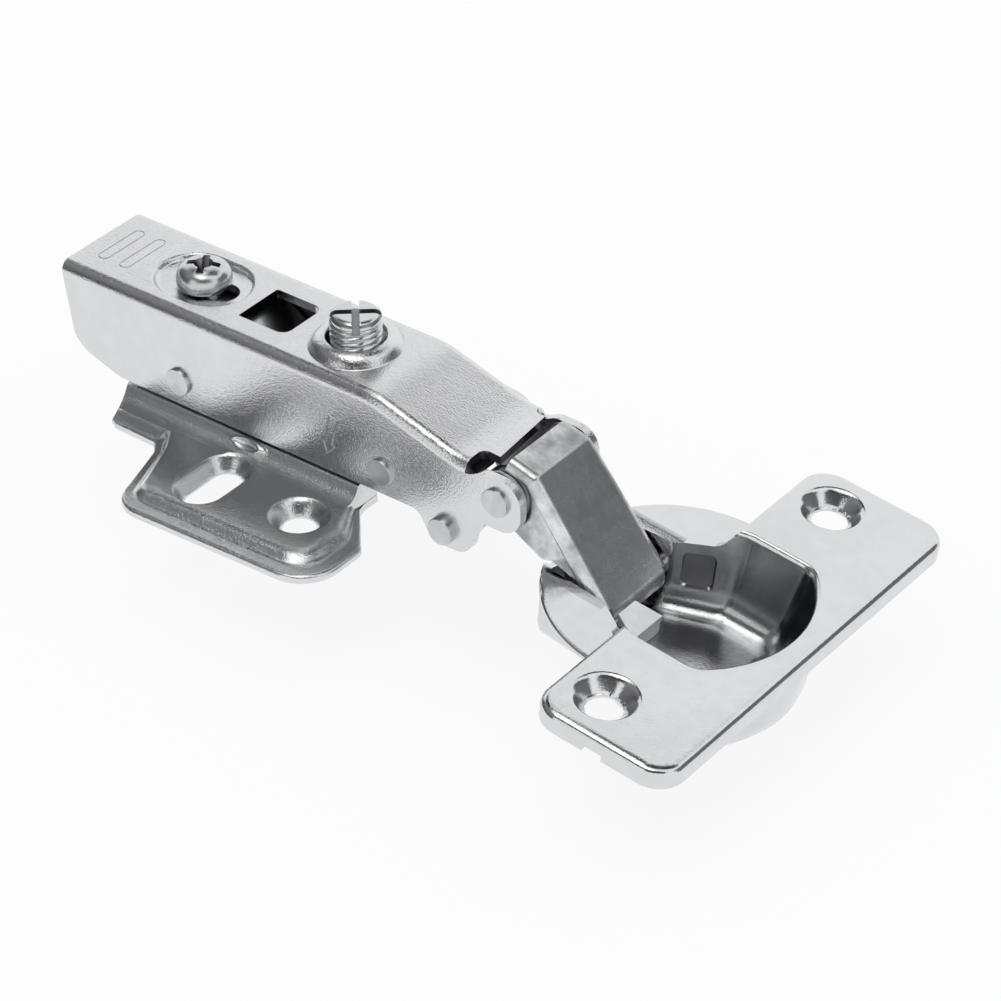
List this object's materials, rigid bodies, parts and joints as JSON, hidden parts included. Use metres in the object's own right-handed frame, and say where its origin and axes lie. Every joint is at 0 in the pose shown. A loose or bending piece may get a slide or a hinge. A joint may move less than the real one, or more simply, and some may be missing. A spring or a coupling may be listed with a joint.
{
  "type": "concealed cabinet hinge",
  "caption": "Concealed door hinge: cranked folded arm on a winged mounting plate, linked to a round door cup with a long screw-on plate.",
  "frame": {"origin": "on the mounting face, midway between the two round screw holes of the mounting plate", "axes": "+X along the arm towards the cup, +Z the outward normal of the cabinet side, Y across the hinge"},
  "size_m": [0.1149, 0.0606, 0.035],
  "materials": {
    "nickel_sheet": "bright nickel plate",
    "link_steel": "nickel plate with fine forming marks",
    "dark_link": "nickel plate",
    "zinc_screw": "bright plated thread",
    "pin_steel": "plated rivet head",
    "washer_steel": "plated",
    "spring_steel": "oiled spring steel",
    "zinc_tab": "plain light metal"
  },
  "bodies": {
    "base": {"mounting_plate": "nickel_sheet", "slide_bracket": "nickel_sheet", "lever_pin": "pin_steel"},
    "clip_lever": {"clip_lever": "nickel_sheet"},
    "depth_screw": {"depth_screw": "zinc_screw"},
    "depth_slide": {"rear_cross_pin": "pin_steel", "screw_shoe": "nickel_sheet"},
    "side_screw": {"side_screw": "zinc_screw"},
    "arm": {"hinge_arm": "nickel_sheet", "front_cross_pin": "pin_steel", "arm_front_pin": "pin_steel", "pivot_rivet_near": "pin_steel", "pivot_rivet_far": "pin_steel", "closing_spring": "spring_steel", "link_washer_near": "washer_steel", "link_washer_far": "washer_steel"},
    "outer_link": {"outer_link": "link_steel"},
    "cup": {"hinge_cup": "nickel_sheet", "cup_outer_pin": "pin_steel", "cup_inner_pin": "pin_steel", "cup_tab": "zinc_tab"},
    "inner_link": {"inner_link": "dark_link"}
  },
  "joints": [
    {"name": "depth_screw_turn", "type": "hinge", "parent": "base", "child": "depth_screw", "pos_m": [-0.0287, 0, 0.0178], "axis": [0, 0, 1], "range_deg": [-180, 180]},
    {"name": "depth_slide", "type": "slide", "parent": "base", "child": "depth_slide", "axis": [1, 0, 0], "range_m": [-0.003, 0.0007]},
    {"name": "side_screw_turn", "type": "hinge", "parent": "depth_slide", "child": "side_screw", "pos_m": [-0.003, 0, 0.0096], "axis": [0, 0, 1], "range_deg": [-365, 95]},
    {"name": "arm_tilt", "type": "hinge", "parent": "depth_slide", "child": "arm", "pos_m": [-0.0267, 0, 0.0077], "axis": [0, -1, 0], "range_deg": [-0.48, 1.93]},
    {"name": "outer_link_swing", "type": "hinge", "parent": "arm", "child": "outer_link", "pos_m": [0.0257, 0, 0.0106], "axis": [0, -1, 0], "range_deg": [-28.5, 0]},
    {"name": "cup_turn", "type": "hinge", "parent": "outer_link", "child": "cup", "pos_m": [0.03949, 0, -0.00188], "axis": [0, -1, 0], "range_deg": [0, 125.35]},
    {"name": "inner_link_swing", "type": "hinge", "parent": "cup", "child": "inner_link", "pos_m": [0.03572, 0, 0.001], "axis": [0, -1, 0], "range_deg": [-140, 0]},
    {"name": "clip_lever_press", "type": "hinge", "parent": "base", "child": "clip_lever", "pos_m": [-0.034, 0, 0.0092], "axis": [0, 1, 0], "range_deg": [0, 12], "stiffness_Nm_per_rad": 0.05, "springref_deg": -11.46}
  ],
  "couplings": [
    {"joint": "outer_link_swing", "follows": "cup_turn", "ratio": -0.22585},
    {"joint": "inner_link_swing", "follows": "cup_turn", "ratio": -1.1152},
    {"joint": "side_screw_turn", "follows": "arm_tilt", "ratio": -186.1}
  ]
}
